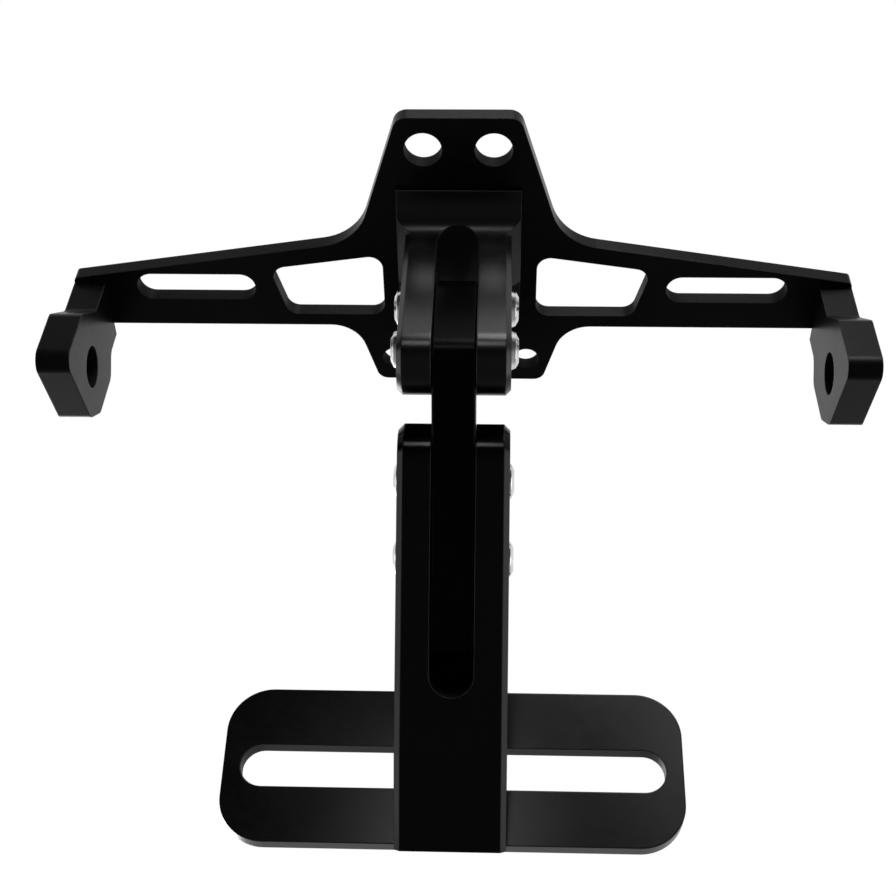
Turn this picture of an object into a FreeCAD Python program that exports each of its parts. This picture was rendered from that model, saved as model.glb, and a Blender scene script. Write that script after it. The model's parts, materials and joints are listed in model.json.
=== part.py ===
import FreeCAD
import Part
import Sketcher
import math
import os
import re

# Frame: X to the right, Y to the rear, Z up, in millimetres.
# The wing plate's mounting face is Z = 0, and the origin lies midway between its two tail holes.

sizes = {
    # wing plate, sizes across X are full widths, places along Y are from the tail holes
    "plate_thickness": 4.0,
    "tab_end": 8.5,
    "tab_width": 29.2,
    "tab_radius": 3.5,
    "shoulder_width": 51.0,
    "shoulder_place": 26.6,
    "shoulder_radius": 14.0,
    "wing_span": 197.2,
    "tip_front": 38.3,
    "wing_rear": 52.8,
    "tip_radius": 1.2,
    "heel_root_width": 53.8,
    "heel_width": 43.2,
    "heel_rear": 70.8,
    "heel_root_radius": 9.0,
    "heel_radius": 3.0,
    "tail_hole_spacing": 16.8,
    "tail_hole_diameter": 9.0,
    "heel_hole_spacing": 34.4,
    "heel_hole_place": 63.8,
    "heel_hole_diameter": 6.6,
    "window_inner": 38.8,
    "window_outer_front": 96.4,
    "window_outer_rear": 88.4,
    "window_front_inner": 30.6,
    "window_front_outer": 35.0,
    "window_rear": 49.3,
    "window_radius": 3.4,
    "wing_slot_row": 40.8,
    "wing_slot_inner_web": 4.0,
    "wing_slot_outer_web": 8.0,
    "wing_slot_width": 7.9,
    # upper clevis
    "fork_width": 25.8,
    "fork_slot": 10.2,
    "fork_depth": 16.4,
    "fork_chamfer": 1.2,
    "crown_flat": 0.02,
    "cut_overrun": 0.1,
    "clevis_front": 19.5,
    "clevis_tip": 55.8,
    "clevis_slot_top": 8.6,
    "clevis_base_width": 30.4,
    "clevis_base_front": 10.6,
    "clevis_base_rear": 45.0,
    "clevis_base_height": 3.4,
    "clevis_lip_height": 1.2,
    "clevis_sweep_radius": 8.0,
    "clevis_screw_top": 29.0,
    "clevis_screw_pitch": 15.4,
    "clevis_head_recess": 1.0,
    # link bar
    "link_width": 10.0,
    "link_depth": 13.0,
    "link_bevel": 0.4,
    "link_tail": 39.9,
    # lower arm, in its own upright frame from the centre of its rounded fork end
    "arm_place_rear": 48.8,
    "arm_place_down": 58.4,
    "arm_angle": 46.8,
    "arm_screw_first": 5.0,
    "arm_screw_pitch": 18.0,
    "arm_head_recess": 1.7,
    "arm_slot_end": 54.0,
    "arm_bend": 67.4,
    "arm_length": 89.7,
    "arm_toe_recess": 3.0,
    "arm_toe_thickness": 6.2,
    "arm_gusset_rise": 16.0,
    "arm_bevel": 1.4,
    # slotted plate, from its lower front edge
    "carrier_angle": 12.2,
    "carrier_width": 110.4,
    "carrier_height": 38.8,
    "carrier_thickness": 4.0,
    "carrier_radius": 11.0,
    "carrier_slot_margin": 4.2,
    "carrier_slot_width": 10.6,
    "carrier_slot_height": 18.9,
    "carrier_screw_low": 6.6,
    "carrier_screw_high": 31.4,
    # signal lugs
    "lug_thickness": 8.0,
    "lug_hole_diameter": 10.5,
    "lug_hole_place": 47.6,
    "lug_hole_down": 28.0,
    "lug_neck_front": 39.6,
    "lug_neck_rear": 56.5,
    "lug_step_down": 16.0,
    "lug_shoulder_down": 26.5,
    "lug_head_front": 32.2,
    "lug_head_rear": 61.5,
    "lug_cheek_down": 11.5,
    "lug_rear_shoulder": 16.0,
    "lug_rear_down": 29.5,
    "lug_end_rear": 56.5,
    "lug_end_rear_down": 37.0,
    "lug_end_down": 44.6,
    "lug_radius": 3.5,
    "lug_screw_front": 42.2,
    "lug_screw_pitch": 7.0,
    # fasteners
    "button_head_diameter": 9.2,
    "button_head_height": 2.7,
    "button_head_play": 0.3,
    "button_crown_diameter": 5.6,
    "button_rim": 0.7,
    "button_dome_step": 1.2,
    "button_dome_drop": 0.65,
    "button_socket": 3.0,
    "button_socket_depth": 1.6,
    "fork_screw_diameter": 5.0,
    "fork_screw_reach": 4.4,
    "fork_screw_play": 0.25,
    "thread_gap": 0.03,
    "flat_screw_diameter": 5.0,
    "flat_screw_length": 14.0,
    "flat_head_sink": 0.15,
    "flat_sink_depth": 2.2,
    "flat_socket": 3.0,
    "flat_socket_depth": 1.4,
    "lug_screw_diameter": 3.0,
    "lug_screw_length": 12.0,
    "lug_screw_play": 0.05,
    "screw_point_bevel": 0.4,
    "drill_overrun": 1.5,
    "lug_sink_depth": 1.4,
    "lug_socket": 2.0,
    "lug_socket_depth": 0.9,
}

document = FreeCAD.newDocument("NumberPlateClamp")
sheet = document.addObject("Spreadsheet::Sheet", "sizes")
for row, (alias, number) in enumerate(sizes.items(), start=1):
    sheet.set(f"A{row}", alias)
    sheet.set(f"B{row}", str(number))
    sheet.setAlias(f"B{row}", alias)
document.recompute()


def bound(expression):
    """The expression with every size name pointed at the sheet."""
    return re.sub(r"\b([a-z]+(?:_[a-z]+)+)\b", r"sizes.\1", str(expression))


def number_of(expression):
    """What an expression comes to now."""
    return float(sheet.evalExpression(str(expression)))


def new_body(label):
    body = document.addObject("PartDesign::Body", label)
    body.Label = label
    return body


def new_sketch(body, role, name):
    """A sketch on one of the body's own origin planes."""
    sketch = body.newObject("Sketcher::SketchObject", name)
    plane = next(feature for feature in body.Origin.OriginFeatures if feature.Role == role)
    sketch.AttachmentSupport = (plane, [""])
    sketch.MapMode = "FlatFace"
    return sketch


def pin_point(sketch, geometry, position, place):
    """Fixes a point of the sketch at two bound coordinates."""
    for kind, expression in zip(("DistanceX", "DistanceY"), place):
        constraint = Sketcher.Constraint(kind, -1, 1, geometry, position, number_of(expression))
        index = sketch.addConstraint(constraint)
        sketch.setExpression(f"Constraints[{index}]", bound(expression))


def draw_outline(sketch, corners):
    """A closed outline of straight lines through bound corners."""
    points = [FreeCAD.Vector(number_of(a), number_of(b), 0) for a, b in corners]
    first = sketch.GeometryCount
    count = len(points)
    for index in range(count):
        sketch.addGeometry(Part.LineSegment(points[index], points[(index + 1) % count]))
    for index in range(count):
        following = first + (index + 1) % count
        sketch.addConstraint(Sketcher.Constraint("Coincident", first + index, 2, following, 1))
    for index, corner in enumerate(corners):
        pin_point(sketch, first + index, 1, corner)


def draw_circle(sketch, centre, diameter):
    middle = FreeCAD.Vector(number_of(centre[0]), number_of(centre[1]), 0)
    circle = Part.Circle(middle, FreeCAD.Vector(0, 0, 1), number_of(diameter) / 2)
    geometry = sketch.addGeometry(circle)
    pin_point(sketch, geometry, 3, centre)
    index = sketch.addConstraint(Sketcher.Constraint("Diameter", geometry, number_of(diameter)))
    sketch.setExpression(f"Constraints[{index}]", bound(diameter))


def draw_obround(sketch, start, end, width):
    """A slot outline with round ends about two bound centres."""
    a = FreeCAD.Vector(number_of(start[0]), number_of(start[1]), 0)
    b = FreeCAD.Vector(number_of(end[0]), number_of(end[1]), 0)
    radius = number_of(width) / 2
    heading = math.atan2(b.y - a.y, b.x - a.x)
    side = FreeCAD.Vector(-math.sin(heading), math.cos(heading), 0) * radius
    up = FreeCAD.Vector(0, 0, 1)
    quarter = math.pi / 2
    arc_a = sketch.addGeometry(Part.ArcOfCircle(Part.Circle(a, up, radius), heading + quarter, heading + 3 * quarter))
    line_a = sketch.addGeometry(Part.LineSegment(a - side, b - side))
    arc_b = sketch.addGeometry(Part.ArcOfCircle(Part.Circle(b, up, radius), heading - quarter, heading + quarter))
    line_b = sketch.addGeometry(Part.LineSegment(b + side, a + side))
    loop = [(arc_a, 2, line_a, 1), (line_a, 2, arc_b, 1), (arc_b, 2, line_b, 1), (line_b, 2, arc_a, 1)]
    for join in loop:
        sketch.addConstraint(Sketcher.Constraint("Tangent", *join))
    pin_point(sketch, arc_a, 3, start)
    pin_point(sketch, arc_b, 3, end)
    index = sketch.addConstraint(Sketcher.Constraint("Radius", arc_a, radius))
    sketch.setExpression(f"Constraints[{index}]", bound(f"({width}) / 2"))


def add_pad(body, sketch, length, reverse=False, middle=False):
    pad = body.newObject("PartDesign::Pad", f"{sketch.Name}_pad")
    pad.Profile = sketch
    pad.Reversed = reverse
    pad.Midplane = middle
    pad.setExpression("Length", bound(length))
    sketch.Visibility = False
    document.recompute()
    return pad


def add_pocket(body, sketch, length, middle=True, reverse=False):
    pocket = body.newObject("PartDesign::Pocket", f"{sketch.Name}_pocket")
    pocket.Profile = sketch
    pocket.Midplane = middle
    pocket.Reversed = reverse
    pocket.setExpression("Length", bound(length))
    document.recompute()
    return pocket


def dress_edges(body, kind, size, chosen):
    """A fillet or chamfer on the tip's edges that the test picks."""
    tip = body.Tip
    names = [f"Edge{i}" for i, edge in enumerate(tip.Shape.Edges, start=1) if chosen(edge)]
    dress = body.newObject(f"PartDesign::{kind}", f"{body.Name}_{kind.lower()}")
    dress.Base = (tip, names)
    dress.setExpression("Radius" if kind == "Fillet" else "Size", bound(size))
    document.recompute()
    return dress


def runs_along(axis, places):
    """Picks straight edges parallel to an axis through bound places on the other two axes."""
    spots = [[number_of(part) for part in place] for place in places]
    others = [index for index in range(3) if index != axis]

    def test(edge):
        ends = [vertex.Point for vertex in edge.Vertexes]
        if len(ends) != 2 or edge.Curve.TypeId != "Part::GeomLine":
            return False
        if any(abs(ends[0][index] - ends[1][index]) > 1e-4 for index in others):
            return False
        return any(all(abs(ends[0][index] - spot[k]) < 1e-3 for k, index in enumerate(others)) for spot in spots)

    return test


def rims_at(axis, level, diameter):
    """Picks circular edges of one diameter that lie at a level along an axis."""
    height = number_of(level)
    radius = number_of(diameter) / 2

    def test(edge):
        if edge.Curve.TypeId != "Part::GeomCircle":
            return False
        return abs(edge.Curve.Radius - radius) < 1e-4 and abs(edge.Curve.Center[axis] - height) < 1e-4

    return test


def place_body(body, base, axis=(1, 0, 0), angle="0"):
    """Binds a body's placement to the sheet."""
    body.Placement = FreeCAD.Placement(FreeCAD.Vector(), FreeCAD.Rotation(FreeCAD.Vector(*axis), number_of(angle)))
    for letter, expression in zip("xyz", base):
        body.setExpression(f"Placement.Base.{letter}", bound(expression))
    body.setExpression("Placement.Rotation.Angle", bound(angle))
    document.recompute()


def mirrored(corners):
    """An outline symmetric about X = 0, from its right-hand corners."""
    return [*corners, *[(f"-({a})", b) for a, b in reversed(corners)]]


sides = {"left": -1, "right": 1}
flat_hole = "flat_screw_diameter + 2 * fork_screw_play"
lug_screw_hole = "lug_screw_diameter + 2 * lug_screw_play"
fork_hole = "fork_screw_diameter + 2 * fork_screw_play"
fork_middle = "clevis_front + fork_depth / 2"
base_screw_spread = "(fork_width + fork_slot) / 4"
lug_middle = "wing_span / 2 - lug_thickness / 2"
arm_back = "fork_depth / 2"
toe_back = "arm_toe_recess + arm_toe_thickness - fork_depth / 2"
wedge_angle = "(arm_angle - carrier_angle)"


def make_wing_plate():
    body = new_body("wing_plate")
    sketch = new_sketch(body, "XY_Plane", "wing_outline")
    corners = [
        ("tab_width / 2", "-tab_end"),
        ("shoulder_width / 2", "shoulder_place"),
        ("wing_span / 2", "tip_front"),
        ("wing_span / 2", "wing_rear"),
        ("heel_root_width / 2", "wing_rear"),
        ("heel_width / 2", "heel_rear"),
    ]
    draw_outline(sketch, mirrored(corners))
    add_pad(body, sketch, "plate_thickness", reverse=True)
    radii = ["tab_radius", "shoulder_radius", "tip_radius", "tip_radius", "heel_root_radius", "heel_radius"]
    for radius in dict.fromkeys(radii):
        places = [corner for corner, size in zip(corners, radii) if size == radius]
        dress_edges(body, "Fillet", radius, runs_along(2, mirrored(places)))
    window = [
        ("window_inner / 2", "window_front_inner"),
        ("window_outer_front / 2", "window_front_outer"),
        ("window_outer_rear / 2", "window_rear"),
        ("window_inner / 2", "window_rear"),
    ]
    sketch = new_sketch(body, "XY_Plane", "wing_windows")
    draw_outline(sketch, window)
    draw_outline(sketch, [(f"-({a})", b) for a, b in reversed(window)])
    add_pocket(body, sketch, "4 * plate_thickness")
    dress_edges(body, "Fillet", "window_radius", runs_along(2, mirrored(window)))
    sketch = new_sketch(body, "XY_Plane", "wing_slots")
    inner = "window_outer_front / 2 + wing_slot_inner_web + wing_slot_width / 2"
    outer = "wing_span / 2 - lug_thickness - wing_slot_outer_web - wing_slot_width / 2"
    for sign in sides.values():
        ends = [(f"{sign} * ({along})", "wing_slot_row") for along in (inner, outer)]
        draw_obround(sketch, *ends, "wing_slot_width")
    add_pocket(body, sketch, "4 * plate_thickness")
    sketch = new_sketch(body, "XY_Plane", "wing_holes")
    for sign in sides.values():
        draw_circle(sketch, (f"{sign} * tail_hole_spacing / 2", "0"), "tail_hole_diameter")
        draw_circle(sketch, (f"{sign} * heel_hole_spacing / 2", "heel_hole_place"), "heel_hole_diameter")
        draw_circle(sketch, (f"{sign} * {base_screw_spread}", fork_middle), flat_hole)
        for step in range(2):
            spot = f"lug_screw_front + {step} * lug_screw_pitch"
            draw_circle(sketch, (f"{sign} * ({lug_middle})", spot), lug_screw_hole)
    add_pocket(body, sketch, "4 * plate_thickness")
    dress_edges(body, "Chamfer", "flat_sink_depth", rims_at(2, "0", flat_hole))
    dress_edges(body, "Chamfer", "lug_sink_depth", rims_at(2, "0", lug_screw_hole))
    return body


def clevis_spot(step):
    return fork_middle, f"-clevis_screw_top - {step} * clevis_screw_pitch"


def arm_spot(step):
    return arm_point(f"arm_screw_first + {step} * arm_screw_pitch")


def on_flanks(width, chosen):
    """Picks edges that lie on the two flanks of a body of bound width and pass a further test."""
    half = number_of(width) / 2

    def test(edge):
        box = edge.BoundBox
        level = (box.XMin + box.XMax) / 2
        flat = box.XMax - box.XMin < 1e-4
        return flat and abs(abs(level) - half) < 1e-3 and chosen(edge)

    return test


def sink_heads(body, name, centres, recess):
    """Round recesses in a fork's flanks that its button heads sit in."""
    for side, sign in sides.items():
        sketch = new_sketch(body, "YZ_Plane", f"{name}_{side}_recess")
        sketch.setExpression("AttachmentOffset.Base.z", bound(f"{sign} * (fork_width / 2 - {recess})"))
        for centre in centres:
            draw_circle(sketch, centre, "button_head_diameter + 2 * button_head_play")
        document.recompute()
        add_pocket(body, sketch, "clevis_base_width", middle=False, reverse=sign > 0)


def make_upper_clevis():
    body = new_body("upper_clevis")
    floor = "plate_thickness"
    rear = "clevis_front + fork_depth"
    sweep_foot = "clevis_front - clevis_sweep_radius"
    sketch = new_sketch(body, "YZ_Plane", "clevis_side")
    draw_outline(sketch, [
        ("clevis_base_front", f"-{floor}"),
        ("clevis_base_rear", f"-{floor}"),
        ("clevis_base_rear", f"-{floor} - clevis_base_height"),
        (rear, f"-{floor} - clevis_base_height"),
        (rear, "-clevis_tip"),
        ("clevis_front", "-clevis_tip"),
        ("clevis_front", f"-{floor} - clevis_lip_height"),
        (sweep_foot, f"-{floor} - clevis_lip_height"),
        ("clevis_base_front", f"-{floor} - clevis_lip_height"),
    ])
    add_pad(body, sketch, "clevis_base_width", middle=True)
    sweep = [("clevis_front", f"-{floor} - clevis_lip_height")]
    dress_edges(body, "Fillet", "clevis_sweep_radius", runs_along(0, sweep))
    tips = [("clevis_front", "-clevis_tip"), (rear, "-clevis_tip")]
    dress_edges(body, "Fillet", "(fork_depth - crown_flat) / 2", runs_along(0, tips))
    sketch = new_sketch(body, "XZ_Plane", "clevis_flanks")
    shoulder = f"-{floor} - clevis_base_height - (clevis_base_width - fork_width) / 2"
    for sign in sides.values():
        draw_outline(sketch, [
            (f"{sign} * fork_width / 2", shoulder),
            (f"{sign} * clevis_base_width / 2", f"-{floor} - clevis_base_height"),
            (f"{sign} * clevis_base_width", f"-{floor} - clevis_base_height"),
            (f"{sign} * clevis_base_width", "-2 * clevis_tip"),
            (f"{sign} * fork_width / 2", "-2 * clevis_tip"),
        ])
    add_pocket(body, sketch, "4 * clevis_base_rear")
    sketch = new_sketch(body, "XZ_Plane", "clevis_slot")
    draw_obround(sketch, ("0", "-clevis_slot_top - fork_slot / 2"), ("0", "-2 * clevis_tip"), "fork_slot")
    add_pocket(body, sketch, "4 * clevis_base_rear")
    sketch = new_sketch(body, "YZ_Plane", "clevis_cross_holes")
    for step in range(2):
        draw_circle(sketch, (fork_middle, f"-clevis_screw_top - {step} * clevis_screw_pitch"), fork_hole)
    add_pocket(body, sketch, "2 * clevis_base_width")
    sink_heads(body, "clevis", [clevis_spot(step) for step in range(2)], "clevis_head_recess")
    sketch = new_sketch(body, "XY_Plane", "clevis_base_holes")
    for sign in sides.values():
        centre = (f"{sign} * {base_screw_spread}", fork_middle)
        draw_circle(sketch, centre, "flat_screw_diameter + 2 * thread_gap")
    add_pocket(body, sketch, "2 * (flat_screw_length + drill_overrun)")
    edges = [(f"{sign} * fork_width / 2", "clevis_front") for sign in sides.values()]
    dress_edges(body, "Chamfer", "fork_chamfer", runs_along(2, edges))
    return body


def make_link_bar():
    """The bent bar that both forks clamp, with a round end about its first screw."""
    body = new_body("link_bar")
    knee = (fork_middle, "-clevis_tip + fork_depth / 2")
    drop = "-clevis_screw_top"
    sketch = new_sketch(body, "YZ_Plane", "link_upper")
    draw_obround(sketch, (fork_middle, drop), knee, "link_depth")
    add_pad(body, sketch, "link_width", middle=True)
    sketch = new_sketch(body, "YZ_Plane", "link_bridge")
    start = ("arm_place_rear", "-arm_place_down")
    draw_obround(sketch, knee, start, "link_depth")
    add_pad(body, sketch, "link_width", middle=True)
    sketch = new_sketch(body, "YZ_Plane", "link_lower")
    end = arm_point("link_tail")
    draw_obround(sketch, start, end, "link_depth")
    add_pad(body, sketch, "link_width", middle=True)
    sketch = new_sketch(body, "YZ_Plane", "link_holes")
    thread = "fork_screw_diameter + 2 * thread_gap"
    for step in range(2):
        draw_circle(sketch, (fork_middle, f"-clevis_screw_top - {step} * clevis_screw_pitch"), thread)
        draw_circle(sketch, arm_point(f"arm_screw_first + {step} * arm_screw_pitch"), thread)
    add_pocket(body, sketch, "2 * link_width")
    thread_radius = number_of(thread) / 2

    def on_rim(edge):
        return edge.Curve.TypeId == "Part::GeomLine" or abs(edge.Curve.Radius - thread_radius) > 1e-3

    dress_edges(body, "Chamfer", "link_bevel", on_flanks("link_width", on_rim))
    return body


def arm_point(along, across="0"):
    """A point of the arm's upright frame, as bound Y and Z of the whole part."""
    turn = "(arm_angle * 1 deg)"
    rear = f"arm_place_rear + ({along}) * sin({turn}) + ({across}) * cos({turn})"
    down = f"-arm_place_down - ({along}) * cos({turn}) + ({across}) * sin({turn})"
    return rear, down


def make_lower_arm():
    body = new_body("lower_arm")
    lean = f"({wedge_angle} * 1 deg)"
    top_rear = f"{toe_back} + carrier_height * sin({lean})"
    top_level = f"-arm_length + carrier_height * cos({lean})"
    half = "fork_depth / 2"
    sketch = new_sketch(body, "YZ_Plane", "arm_side")
    draw_outline(sketch, [
        (f"-{half}", half),
        (half, half),
        (half, f"{top_level} + arm_gusset_rise"),
        (top_rear, top_level),
        (toe_back, "-arm_length"),
        (f"-{half} + arm_toe_recess", "-arm_length"),
        (f"-{half}", "-arm_bend"),
    ])
    add_pad(body, sketch, "fork_width", middle=True)
    crown = [(f"-{half}", half), (half, half)]
    dress_edges(body, "Fillet", "(fork_depth - crown_flat) / 2", runs_along(0, crown))
    sketch = new_sketch(body, "XZ_Plane", "arm_slot")
    draw_obround(sketch, ("0", "-arm_slot_end + fork_slot / 2"), ("0", "arm_length"), "fork_slot")
    add_pocket(body, sketch, "fork_depth + 2 * cut_overrun")
    sketch = new_sketch(body, "YZ_Plane", "arm_cross_holes")
    for step in range(2):
        draw_circle(sketch, ("0", f"-arm_screw_first - {step} * arm_screw_pitch"), fork_hole)
    add_pocket(body, sketch, "2 * fork_width")
    front = -number_of(half)
    bend = -number_of("arm_bend")
    toe = front + number_of("arm_toe_recess")

    def on_front(edge):
        middle = edge.CenterOfMass
        face = abs(middle.y - front) < 1e-3
        return face or (middle.z < bend and middle.y < toe - 1e-3)

    dress_edges(body, "Chamfer", "arm_bevel", on_flanks("fork_width", on_front))
    spots = [("0", f"-arm_screw_first - {step} * arm_screw_pitch") for step in range(2)]
    sink_heads(body, "arm", spots, "arm_head_recess")
    place_body(body, ("0", "arm_place_rear", "-arm_place_down"), angle="arm_angle")
    return body


def make_slotted_plate():
    body = new_body("slotted_plate")
    sketch = new_sketch(body, "XZ_Plane", "carrier_outline")
    corners = [("carrier_width / 2", "0"), ("carrier_width / 2", "carrier_height")]
    draw_outline(sketch, mirrored(corners))
    pad = add_pad(body, sketch, "carrier_thickness")
    if pad.Shape.BoundBox.YMax < 1e-6:
        pad.Reversed = True
        document.recompute()
    dress_edges(body, "Fillet", "carrier_radius", runs_along(1, mirrored(corners)))
    sketch = new_sketch(body, "XZ_Plane", "carrier_slot")
    reach = "carrier_width / 2 - carrier_slot_margin - carrier_slot_width / 2"
    draw_obround(sketch, (f"-({reach})", "carrier_slot_height"), (reach, "carrier_slot_height"), "carrier_slot_width")
    add_pocket(body, sketch, "4 * carrier_thickness")
    sketch = new_sketch(body, "XZ_Plane", "carrier_holes")
    for level in ("carrier_screw_low", "carrier_screw_high"):
        draw_circle(sketch, ("0", level), flat_hole)
    add_pocket(body, sketch, "4 * carrier_thickness")
    dress_edges(body, "Chamfer", "flat_sink_depth", rims_at(1, "carrier_thickness", flat_hole))
    rear, down = arm_point("arm_length", toe_back)
    place_body(body, ("0", rear, down), angle="carrier_angle")
    return body


def make_signal_lug(side):
    body = new_body(f"{side}_signal_lug")
    sketch = new_sketch(body, "YZ_Plane", f"{side}_lug_side")
    corners = [
        ("lug_neck_front", "-plate_thickness"),
        ("lug_neck_front", "-lug_step_down"),
        ("lug_head_front", "-lug_shoulder_down"),
        ("lug_head_front", "-lug_end_down"),
        ("lug_end_rear", "-lug_end_rear_down"),
        ("lug_head_rear", "-lug_rear_down"),
        ("lug_head_rear", "-lug_rear_shoulder"),
        ("lug_neck_rear", "-lug_cheek_down"),
        ("lug_neck_rear", "-plate_thickness"),
    ]
    draw_outline(sketch, corners)
    add_pad(body, sketch, "lug_thickness", middle=True)
    dress_edges(body, "Fillet", "lug_radius", runs_along(0, corners[1:-1]))
    sketch = new_sketch(body, "YZ_Plane", f"{side}_lug_hole")
    draw_circle(sketch, ("lug_hole_place", "-lug_hole_down"), "lug_hole_diameter")
    add_pocket(body, sketch, "4 * lug_thickness")
    sketch = new_sketch(body, "XY_Plane", f"{side}_lug_threads")
    for step in range(2):
        spot = f"lug_screw_front + {step} * lug_screw_pitch"
        draw_circle(sketch, ("0", spot), "lug_screw_diameter + 2 * thread_gap")
    add_pocket(body, sketch, "2 * (lug_screw_length + drill_overrun)")
    place_body(body, (f"{sides[side]} * ({lug_middle})", "0", "0"))
    return body


def cut_socket(body, name, level, across, depth):
    """A hexagon socket sunk from a level of a screw that points along Z."""
    sketch = new_sketch(body, "XY_Plane", name)
    sketch.setExpression("AttachmentOffset.Base.z", bound(level))
    reach = f"({across}) / sqrt(3)"
    draw_outline(sketch, [(f"{reach} * cos({60 * k} deg)", f"{reach} * sin({60 * k} deg)") for k in range(6)])
    add_pocket(body, sketch, depth, middle=False)


def turn_profile(body, name, corners):
    sketch = new_sketch(body, "XZ_Plane", name)
    draw_outline(sketch, corners)
    turned = body.newObject("PartDesign::Revolution", f"{name}_turned")
    turned.Profile = sketch
    turned.ReferenceAxis = (sketch, ["V_Axis"])
    turned.Angle = 360
    document.recompute()


def make_button_screw(label, recess):
    """A button-head screw, seated at its own Z = 0 with the head above."""
    body = new_body(label)
    shank = "fork_screw_diameter / 2"
    tip = f"{recess} - (fork_width - link_width) / 2 - fork_screw_reach"
    turn_profile(body, f"{label}_profile", [
        ("0", tip),
        (f"{shank} - screw_point_bevel", tip),
        (shank, f"{tip} + screw_point_bevel"),
        (shank, "0"),
        ("button_head_diameter / 2", "0"),
        ("button_head_diameter / 2", "button_rim"),
        ("button_crown_diameter / 2 + button_dome_step", "button_head_height - button_dome_drop"),
        ("button_crown_diameter / 2", "button_head_height"),
        ("0", "button_head_height"),
    ])
    cut_socket(body, f"{label}_socket", "button_head_height", "button_socket", "button_socket_depth")
    return body


def make_flat_screw(label, diameter, length, sink, hole, socket, socket_depth):
    """A countersunk screw whose cone lies on a sink of the given depth about its own Z = 0."""
    body = new_body(label)
    mouth = f"({hole}) / 2 + {sink}"
    turn_profile(body, f"{label}_profile", [
        ("0", f"-{length}"),
        (f"{diameter} / 2 - screw_point_bevel", f"-{length}"),
        (f"{diameter} / 2", f"-{length} + screw_point_bevel"),
        (f"{diameter} / 2", f"{diameter} / 2 - ({mouth})"),
        (f"{mouth} - flat_head_sink", "-flat_head_sink"),
        ("0", "-flat_head_sink"),
    ])
    cut_socket(body, f"{label}_socket", "-flat_head_sink", socket, socket_depth)
    return body


def make_fork_screws(fork, place):
    """Two button-head screws on each side of a fork, heads in its recesses."""
    recess = f"{fork}_head_recess"
    made = []
    for side, sign in sides.items():
        for step, word in enumerate(("upper", "lower")):
            body = make_button_screw(f"{fork}_screw_{side}_{word}", recess)
            rear, down = place(step)
            seat = f"{sign} * (fork_width / 2 - {recess})"
            place_body(body, (seat, rear, down), axis=(0, 1, 0), angle=str(90 * sign))
            made.append(body)
    return made


def make_flat_screws():
    made = []
    wide = ("flat_screw_diameter", "flat_screw_length", "flat_sink_depth", flat_hole, "flat_socket", "flat_socket_depth")
    thin = ("lug_screw_diameter", "lug_screw_length", "lug_sink_depth", lug_screw_hole, "lug_socket", "lug_socket_depth")
    for side, sign in sides.items():
        body = make_flat_screw(f"base_screw_{side}", *wide)
        place_body(body, (f"{sign} * {base_screw_spread}", fork_middle, "0"))
        made.append(body)
        for step, word in enumerate(("front", "rear")):
            body = make_flat_screw(f"lug_screw_{side}_{word}", *thin)
            spot = f"lug_screw_front + {step} * lug_screw_pitch"
            place_body(body, (f"{sign} * ({lug_middle})", spot, "0"))
            made.append(body)
    foot_rear, foot_down = arm_point("arm_length", toe_back)
    turn = "(carrier_angle * 1 deg)"
    for word, level in (("lower", "carrier_screw_low"), ("upper", "carrier_screw_high")):
        body = make_flat_screw(f"plate_screw_{word}", *wide)
        rear = f"{foot_rear} - {level} * sin({turn}) + carrier_thickness * cos({turn})"
        down = f"{foot_down} + {level} * cos({turn}) + carrier_thickness * sin({turn})"
        place_body(body, ("0", rear, down), angle="carrier_angle - 90")
        made.append(body)
    return made


def drill_arm_foot(body):
    """Tapped holes in the arm's foot, square to the slotted plate."""
    lean = f"({wedge_angle} * 1 deg)"
    for word, level in (("low", "carrier_screw_low"), ("high", "carrier_screw_high")):
        sketch = new_sketch(body, "XZ_Plane", f"arm_foot_{word}")
        draw_circle(sketch, ("0", "0"), "flat_screw_diameter + 2 * thread_gap")
        sketch.AttachmentOffset = FreeCAD.Placement()
        sketch.MapMode = "Deactivated"
        sketch.Placement = FreeCAD.Placement(
            FreeCAD.Vector(), FreeCAD.Rotation(FreeCAD.Vector(1, 0, 0), 90 - number_of(wedge_angle)))
        sketch.setExpression("Placement.Base.y", bound(f"{toe_back} + {level} * sin({lean})"))
        sketch.setExpression("Placement.Base.z", bound(f"-arm_length + {level} * cos({lean})"))
        sketch.setExpression("Placement.Rotation.Angle", bound(f"90 - {wedge_angle}"))
        document.recompute()
        add_pocket(body, sketch, "2 * (flat_screw_length - carrier_thickness + drill_overrun)")


wing_plate = make_wing_plate()
upper_clevis = make_upper_clevis()
link_bar = make_link_bar()
lower_arm = make_lower_arm()
drill_arm_foot(lower_arm)
slotted_plate = make_slotted_plate()
lugs = [make_signal_lug(side) for side in sides]
clevis_screws = make_fork_screws("clevis", clevis_spot)
arm_screws = make_fork_screws("arm", arm_spot)
flat_screws = make_flat_screws()

document.recompute()
bodies = [wing_plate, upper_clevis, link_bar, lower_arm, slotted_plate]
bodies += [*lugs, *clevis_screws, *arm_screws, *flat_screws]
for item in document.Objects:
    if "Invalid" in item.State or "Error" in item.State:
        raise RuntimeError(f"{item.Label} did not build: {item.State}")
os.makedirs("parts", exist_ok=True)
for body in bodies:
    if body.Shape.isNull() or not body.Shape.isValid() or len(body.Shape.Solids) != 1:
        raise RuntimeError(f"{body.Label} is not one sound solid")
    body.Shape.exportStep(f"parts/{body.Label}.step")
print(len(bodies), "sub-parts written")
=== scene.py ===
import bpy
import json
from mathutils import Matrix, Vector

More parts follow.
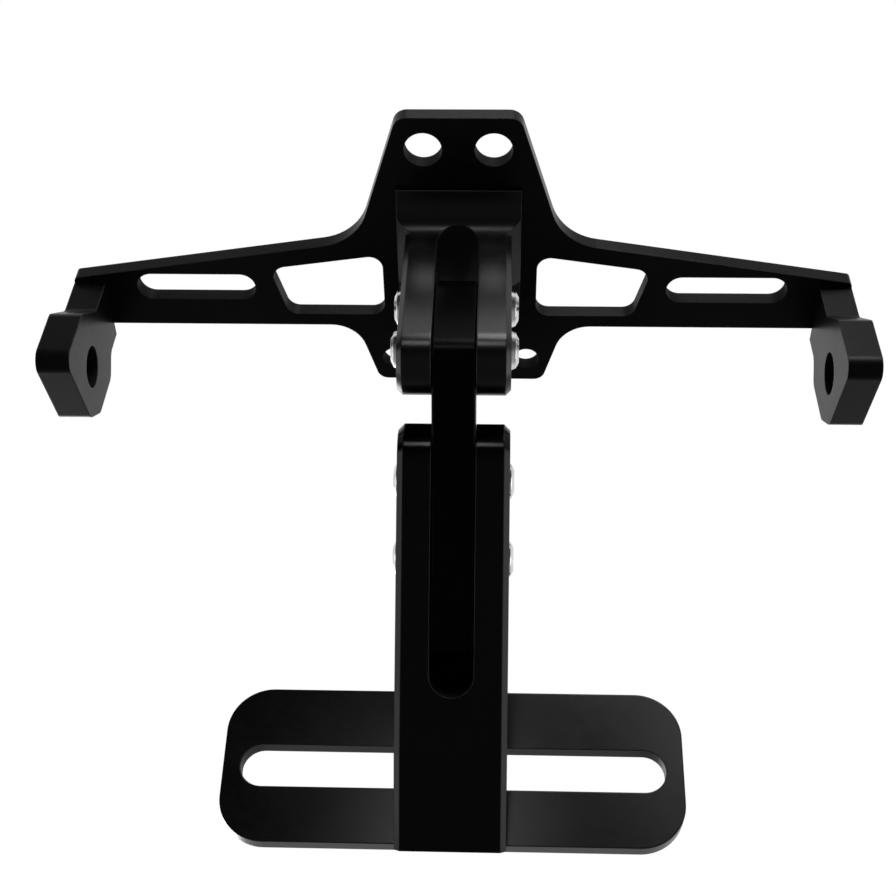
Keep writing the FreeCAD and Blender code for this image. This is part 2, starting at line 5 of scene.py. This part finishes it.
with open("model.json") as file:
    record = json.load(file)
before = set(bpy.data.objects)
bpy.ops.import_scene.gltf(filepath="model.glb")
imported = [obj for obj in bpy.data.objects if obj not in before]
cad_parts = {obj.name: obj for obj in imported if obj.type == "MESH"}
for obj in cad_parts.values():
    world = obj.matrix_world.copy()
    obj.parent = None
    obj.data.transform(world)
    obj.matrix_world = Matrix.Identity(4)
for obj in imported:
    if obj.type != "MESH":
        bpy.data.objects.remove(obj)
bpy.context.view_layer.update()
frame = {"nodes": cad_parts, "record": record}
nodes = frame["nodes"]
scene = bpy.context.scene
white = (1.0, 1.0, 1.0, 1.0)
noiseMean = 0.5  # the middle of a noise's range
print("stage: frame loaded", len(nodes))


class Socket:  # a node output that arithmetic joins with Math nodes
    def __init__(self, tree, output):
        self.tree = tree
        self.output = output

    def math(self, operation, first, second=None):
        node = self.tree.nodes.new("ShaderNodeMath")
        node.operation = operation
        for place, value in enumerate((first, second)):
            if isinstance(value, Socket):
                self.tree.links.new(value.output, node.inputs[place])
            elif value is not None:
                node.inputs[place].default_value = value
        return Socket(self.tree, node.outputs[0])

    def __add__(self, other):
        return self.math("ADD", self, other)

    def __radd__(self, other):
        return self.math("ADD", other, self)

    def __sub__(self, other):
        return self.math("SUBTRACT", self, other)

    def __rsub__(self, other):
        return self.math("SUBTRACT", other, self)

    def __mul__(self, other):
        return self.math("MULTIPLY", self, other)

    def __rmul__(self, other):
        return self.math("MULTIPLY", other, self)

    def __truediv__(self, other):
        return self.math("DIVIDE", self, other)

    def __rtruediv__(self, other):
        return self.math("DIVIDE", other, self)

    def clamp(self):
        return self.math("MINIMUM", self.math("MAXIMUM", self, 0.0), 1.0)

    def ramp(self, start, full):  # 0 up to start, 1 from full on
        return ((self - start) / (full - start)).clamp()


class Tree:  # a node tree, where one method adds any node
    def __init__(self, owner):
        owner.use_nodes = True
        self.tree = owner.node_tree
        self.tree.nodes.clear()

    def add(self, kind, settings=None, inputs=None, output=0):
        node = self.tree.nodes.new(kind)
        for name, value in (settings or {}).items():
            setattr(node, name, value)
        for name, value in (inputs or {}).items():
            if isinstance(value, Socket):
                self.tree.links.new(value.output, node.inputs[name])
            else:
                node.inputs[name].default_value = value
        return Socket(self.tree, node.outputs[output]) if node.outputs else None


edges = {"samples": 6, "maskGain": 4.0}  # how edges are found and how sharply they are marked


def edgeMask(tree, radius):  # where a rounded normal leaves the face's own, and that rounded normal
    rounded = tree.add("ShaderNodeBevel", {"samples": edges["samples"]}, {"Radius": radius})
    own = tree.add("ShaderNodeNewGeometry", output="Normal")
    agree = tree.add("ShaderNodeVectorMath", {"operation": "DOT_PRODUCT"}, {
        0: rounded, 1: own}, output="Value")
    return ((1.0 - agree) * edges["maskGain"]).clamp(), rounded


def mixColours(tree, factor, first, second):  # sockets 6, 7 and 2 are a Mix node's colours
    return tree.add("ShaderNodeMix", {"data_type": "RGBA"}, {
        "Factor": factor, 6: first, 7: second}, output=2)


def finishTree(material, tree, shader):
    tree.add("ShaderNodeOutputMaterial", None, {"Surface": shader})
    return material


anodised = {  # the black finish that the machined pieces share, lengths in metres
    "colour": (0.0016, 0.0016, 0.0018, 1.0),
    "sheenColour": (0.0052, 0.0052, 0.0056, 1.0),
    # the lighter edge colour is partly wear and partly a painted highlight along the edges
    "edgeWearAndHighlightColour": (0.045, 0.046, 0.048, 1.0),
    "lineDetail": 3.0, "lineRoughness": 0.6,
    "blastScale": 5200.0, "blastDetail": 2.0,
    "cloudScale": 46.0, "cloudDetail": 4.0, "cloudRoughness": 0.65,
    "sheenStart": 0.35, "sheenFromCloud": 0.9, "sheenFromLines": 0.6,
    "edgeRadius": 0.00045, "wear": 0.35, "wearFromCloud": 0.9, "wearStart": 0.3,
    "cavityReach": 0.03, "cavityGain": 2.2, "cavitySamples": 8,
    "roughFromCloud": 0.12, "roughFromLines": 0.10, "roughFromCavity": 0.55,
    "bumpStrength": 0.55, "grainDepth": 0.000012, "blastDepth": 0.000006,
}
grains = {  # lines per metre along X, Y and Z, roughness, specular level, tone of the black
    "wing_anodised": ((260.0, 2400.0, 2400.0), 0.27, 0.05, 1.2),
    "clevis_anodised": ((5200.0, 5200.0, 160.0), 0.23, 0.14, 0.4),
    "link_anodised": ((4200.0, 900.0, 900.0), 0.22, 0.012, 0.35),
    "arm_anodised": ((5200.0, 420.0, 420.0), 0.15, 0.06, 0.35),
    "carrier_anodised": ((700.0, 2600.0, 2600.0), 0.21, 0.08, 0.6),
    "lug_anodised": ((2600.0, 700.0, 700.0), 0.33, 0.05, 0.8),
}


def toned(colour, tone):
    return tuple(level * tone for level in colour[:3]) + (1.0,)


def makeAnodised(name, grain, roughness, specular, tone):
    material = bpy.data.materials.new(name)
    tree = Tree(material)
    place = tree.add("ShaderNodeTexCoord", output="Object")
    stretch = tree.add("ShaderNodeMapping", None, {"Vector": place, "Scale": grain})
    lines = tree.add("ShaderNodeTexNoise", None, {
        "Vector": stretch, "Scale": 1.0,
        "Detail": anodised["lineDetail"], "Roughness": anodised["lineRoughness"]})
    blast = tree.add("ShaderNodeTexNoise", None, {
        "Vector": place, "Scale": anodised["blastScale"], "Detail": anodised["blastDetail"]})
    cloud = tree.add("ShaderNodeTexNoise", None, {
        "Vector": place, "Scale": anodised["cloudScale"],
        "Detail": anodised["cloudDetail"], "Roughness": anodised["cloudRoughness"]})
    edge, rounded = edgeMask(tree, anodised["edgeRadius"])
    openness = tree.add("ShaderNodeAmbientOcclusion", {
        "samples": anodised["cavitySamples"], "only_local": True}, {
        "Distance": anodised["cavityReach"]}, output="AO")
    cavity = ((1.0 - openness) * anodised["cavityGain"]).clamp()  # milled holes and slots are duller
    cloudSheen = (cloud - anodised["sheenStart"]) * anodised["sheenFromCloud"]
    sheen = (cloudSheen + (lines - noiseMean) * anodised["sheenFromLines"]).clamp()
    base = mixColours(tree, sheen, toned(anodised["colour"], tone), toned(anodised["sheenColour"], tone))
    # lighter edges: partly wear, partly a painted highlight where the edges would catch the light
    rubbedAndHighlit = anodised["wear"] + anodised["wearFromCloud"] * (cloud - anodised["wearStart"])
    colour = mixColours(tree, (edge * rubbedAndHighlit).clamp(), base, anodised["edgeWearAndHighlightColour"])
    rough = roughness + anodised["roughFromCloud"] * (cloud - noiseMean)
    rough = rough + anodised["roughFromLines"] * (lines - noiseMean)
    rough = rough + anodised["roughFromCavity"] * cavity
    bump = tree.add("ShaderNodeBump", None, {
        "Strength": anodised["bumpStrength"], "Distance": 1.0, "Normal": rounded,
        "Height": lines * anodised["grainDepth"] + blast * anodised["blastDepth"]})
    shader = tree.add("ShaderNodeBsdfPrincipled", None, {
        "Base Color": colour, "Roughness": rough.clamp(), "Metallic": 0.0,
        "Specular IOR Level": specular, "Normal": bump})
    return finishTree(material, tree, shader)


stainless = {  # the bright button heads, lengths in metres
    "colour": (0.62, 0.62, 0.63, 1.0),
    "dark": (0.30, 0.30, 0.31, 1.0),
    "turning": (5200.0, 300.0, 300.0), "ringDetail": 2.0,
    "spotScale": 420.0, "spotDetail": 4.0,
    "edgeRadius": 0.00025, "darkStart": 0.45, "darkFromSpots": 1.6, "darkFromEdges": 0.25,
    "roughness": 0.20, "roughFromSpots": 0.14, "roughFromRings": 0.08,
    "bumpStrength": 0.4, "ringDepth": 0.000008,
}


def makeStainless(name):
    material = bpy.data.materials.new(name)
    tree = Tree(material)
    place = tree.add("ShaderNodeTexCoord", output="Object")
    turned = tree.add("ShaderNodeMapping", None, {"Vector": place, "Scale": stainless["turning"]})
    rings = tree.add("ShaderNodeTexNoise", None, {
        "Vector": turned, "Scale": 1.0, "Detail": stainless["ringDetail"]})
    spots = tree.add("ShaderNodeTexNoise", None, {
        "Vector": place, "Scale": stainless["spotScale"], "Detail": stainless["spotDetail"]})
    edge, rounded = edgeMask(tree, stainless["edgeRadius"])
    spotDark = (spots - stainless["darkStart"]) * stainless["darkFromSpots"]
    dulled = (spotDark + stainless["darkFromEdges"] * edge).clamp()
    colour = mixColours(tree, dulled, stainless["colour"], stainless["dark"])
    rough = stainless["roughness"] + stainless["roughFromSpots"] * (spots - noiseMean)
    rough = rough + stainless["roughFromRings"] * (rings - noiseMean)
    bump = tree.add("ShaderNodeBump", None, {
        "Strength": stainless["bumpStrength"], "Distance": 1.0, "Normal": rounded,
        "Height": rings * stainless["ringDepth"]})
    shader = tree.add("ShaderNodeBsdfPrincipled", None, {
        "Base Color": colour, "Roughness": rough.clamp(), "Metallic": 1.0, "Normal": bump})
    return finishTree(material, tree, shader)


blackSteel = {  # the countersunk screws, lengths in metres
    "colour": (0.012, 0.012, 0.013, 1.0),
    "worn": (0.06, 0.06, 0.062, 1.0),
    "spotScale": 700.0, "spotDetail": 4.0,
    "edgeRadius": 0.0002, "wearFromEdges": 0.8, "wearFromSpots": 0.3,
    "roughness": 0.38, "roughFromSpots": 0.2, "metallic": 0.6,
    "bumpStrength": 0.3, "spotDepth": 0.00001,
}


def makeBlackSteel(name):
    material = bpy.data.materials.new(name)
    tree = Tree(material)
    place = tree.add("ShaderNodeTexCoord", output="Object")
    spots = tree.add("ShaderNodeTexNoise", None, {
        "Vector": place, "Scale": blackSteel["spotScale"], "Detail": blackSteel["spotDetail"]})
    edge, rounded = edgeMask(tree, blackSteel["edgeRadius"])
    wear = (edge * blackSteel["wearFromEdges"] + blackSteel["wearFromSpots"] * (spots - noiseMean)).clamp()
    colour = mixColours(tree, wear, blackSteel["colour"], blackSteel["worn"])
    rough = blackSteel["roughness"] + blackSteel["roughFromSpots"] * (spots - noiseMean)
    bump = tree.add("ShaderNodeBump", None, {
        "Strength": blackSteel["bumpStrength"], "Distance": 1.0, "Normal": rounded,
        "Height": spots * blackSteel["spotDepth"]})
    shader = tree.add("ShaderNodeBsdfPrincipled", None, {
        "Base Color": colour, "Roughness": rough.clamp(),
        "Metallic": blackSteel["metallic"], "Normal": bump})
    return finishTree(material, tree, shader)


finishes = {slot: makeAnodised(slot, *values) for slot, values in grains.items()}
finishes["stainless"] = makeStainless("stainless")
finishes["black_steel"] = makeBlackSteel("black_steel")
for part in frame["record"]["subparts"]:
    piece = nodes[part["node"]]
    piece.data.materials.clear()
    piece.data.materials.append(finishes[part["material_slot"]])
print("stage: materials given", len(finishes))

camera = {  # the photograph's camera, in metres, and its frame of directions
    "place": (0.0100, -0.1915, -0.3098),
    "forward": (-0.0330, 0.6853, 0.7276),
    "right": (0.9994, 0.0149, 0.0313),
    "focalPixels": 1502.0,
    "picturePixels": 896,
    "sensor": 36.0,
    "clipStart": 0.01,
}


def makeCamera():
    data = bpy.data.cameras.new("photoCamera")
    data.sensor_width = camera["sensor"]
    data.lens = camera["focalPixels"] / camera["picturePixels"] * camera["sensor"]
    data.clip_start = camera["clipStart"]
    holder = bpy.data.objects.new("photoCamera", data)
    scene.collection.objects.link(holder)
    forward = Vector(camera["forward"]).normalized()
    right = Vector(camera["right"])
    right = (right - forward * right.dot(forward)).normalized()
    up = right.cross(forward)
    turn = Matrix((right, up, -forward)).transposed()
    holder.matrix_world = Matrix.Translation(Vector(camera["place"])) @ turn.to_4x4()
    scene.camera = holder


makeCamera()
scene.view_settings.view_transform = "Standard"
print("stage: camera set")

lamps = {  # place, aim, size across and along in metres, watts
    "frontBox": ((0.14, -0.59, 0.31), (0.0, 0.02, -0.04), (0.32, 0.26), 6.0),
    "ceilingBox": ((0.06, -0.46, 0.53), (0.0, 0.02, -0.04), (0.30, 0.26), 0.75),
    "lowBox": ((-0.02, -0.60, -0.03), (0.0, 0.05, -0.06), (0.05, 0.12), 0.55),
    "plateBox": ((0.152, -0.565, 0.06), (0.04, 0.11, -0.09), (0.05, 0.18), 0.35),
    "leftBox": ((-0.80, 0.13, -0.09), (0.0, 0.05, -0.06), (0.55, 0.50), 3.0),
    "rightBox": ((0.80, 0.13, -0.09), (0.0, 0.05, -0.06), (0.55, 0.50), 3.6),
    "rearBox": ((-0.38, 0.75, 0.20), (0.0, 0.06, -0.06), (0.40, 0.40), 2.0),
}


def makeLamp(name, place, aim, size, watts):
    data = bpy.data.lights.new(name, "AREA")
    data.shape = "RECTANGLE"
    data.size, data.size_y = size
    data.energy = watts
    holder = bpy.data.objects.new(name, data)
    scene.collection.objects.link(holder)
    holder.visible_camera = False
    holder.location = place
    holder.rotation_euler = (Vector(aim) - Vector(place)).to_track_quat("-Z", "Y").to_euler()


for name, values in lamps.items():
    makeLamp(name, *values)

sky = {  # strengths, and the directions in which the white backdrop stands
    "white": 1.0, "room": 0.02, "ambient": 0.10,
    "toward": (0.18, 0.67, 0.72), "start": 0.04, "full": 0.24,
}


def viewRays(tree):  # rays from the camera, and rays that metal or glass sends on
    cameraRay = tree.add("ShaderNodeLightPath", output="Is Camera Ray")
    glossyRay = tree.add("ShaderNodeLightPath", output="Is Glossy Ray")
    clearRay = tree.add("ShaderNodeLightPath", output="Is Transmission Ray")
    return cameraRay, (glossyRay + clearRay).clamp() * (1.0 - cameraRay)


def makeWorld():  # a white backdrop behind and above the object, a dark room before it
    world = bpy.data.worlds.new("studio")
    scene.world = world
    tree = Tree(world)
    heading = tree.add("ShaderNodeTexCoord", output="Generated")
    facing = tree.add("ShaderNodeVectorMath", {"operation": "DOT_PRODUCT"}, {
        0: heading, 1: sky["toward"]}, output="Value")
    behind = facing.ramp(sky["start"], sky["full"])
    backdrop = sky["room"] + (sky["white"] - sky["room"]) * behind
    cameraRay, mirrored = viewRays(tree)
    strength = cameraRay * sky["white"] + mirrored * backdrop
    strength = strength + (1.0 - cameraRay - mirrored) * sky["ambient"]
    shade = tree.add("ShaderNodeBackground", None, {"Color": white, "Strength": strength})
    tree.add("ShaderNodeOutputWorld", None, {"Surface": shade})


makeWorld()

floor = {  # lengths in metres, and how white the paint looks near the object
    "level": -0.55, "size": 12.0,
    "colour": (0.34, 0.34, 0.337, 1.0),
    "speckScale": 60.0, "speckDetail": 3.0,
    "roughness": 0.7, "roughFromSpecks": 0.2,
    "pale": 0.78, "rimStart": 0.4, "rimFull": 2.2,
    "rearStart": 0.10, "rearFull": 1.60,
}


def makeFloor():
    half = floor["size"] / 2
    mesh = bpy.data.meshes.new("floor")
    corners = [(-half, -half), (half, -half), (half, half), (-half, half)]
    mesh.from_pydata([(x, y, floor["level"]) for x, y in corners], [], [(0, 1, 2, 3)])
    piece = bpy.data.objects.new("floor", mesh)
    scene.collection.objects.link(piece)
    material = bpy.data.materials.new("floorPaint")
    tree = Tree(material)
    place = tree.add("ShaderNodeNewGeometry", output="Position")
    speck = tree.add("ShaderNodeTexNoise", None, {
        "Vector": place, "Scale": floor["speckScale"], "Detail": floor["speckDetail"]})
    rough = floor["roughness"] + floor["roughFromSpecks"] * speck
    paint = tree.add("ShaderNodeBsdfPrincipled", None, {
        "Base Color": floor["colour"], "Roughness": rough.clamp()})
    away = tree.add("ShaderNodeVectorMath", {"operation": "LENGTH"}, {0: place}, output="Value")
    rim = away.ramp(floor["rimStart"], floor["rimFull"])
    rearward = tree.add("ShaderNodeSeparateXYZ", None, {0: place}, output="Y")
    rear = rearward.ramp(floor["rearStart"], floor["rearFull"])
    cameraRay, mirrored = viewRays(tree)
    lift = cameraRay * (floor["pale"] + (1.0 - floor["pale"]) * rim) + mirrored * rear
    glow = tree.add("ShaderNodeEmission", None, {"Color": white, "Strength": 1.0})
    shader = tree.add("ShaderNodeMixShader", None, {0: lift, 1: paint, 2: glow})
    finishTree(material, tree, shader)
    mesh.materials.append(material)


makeFloor()
print("stage: lamps, world and floor set")
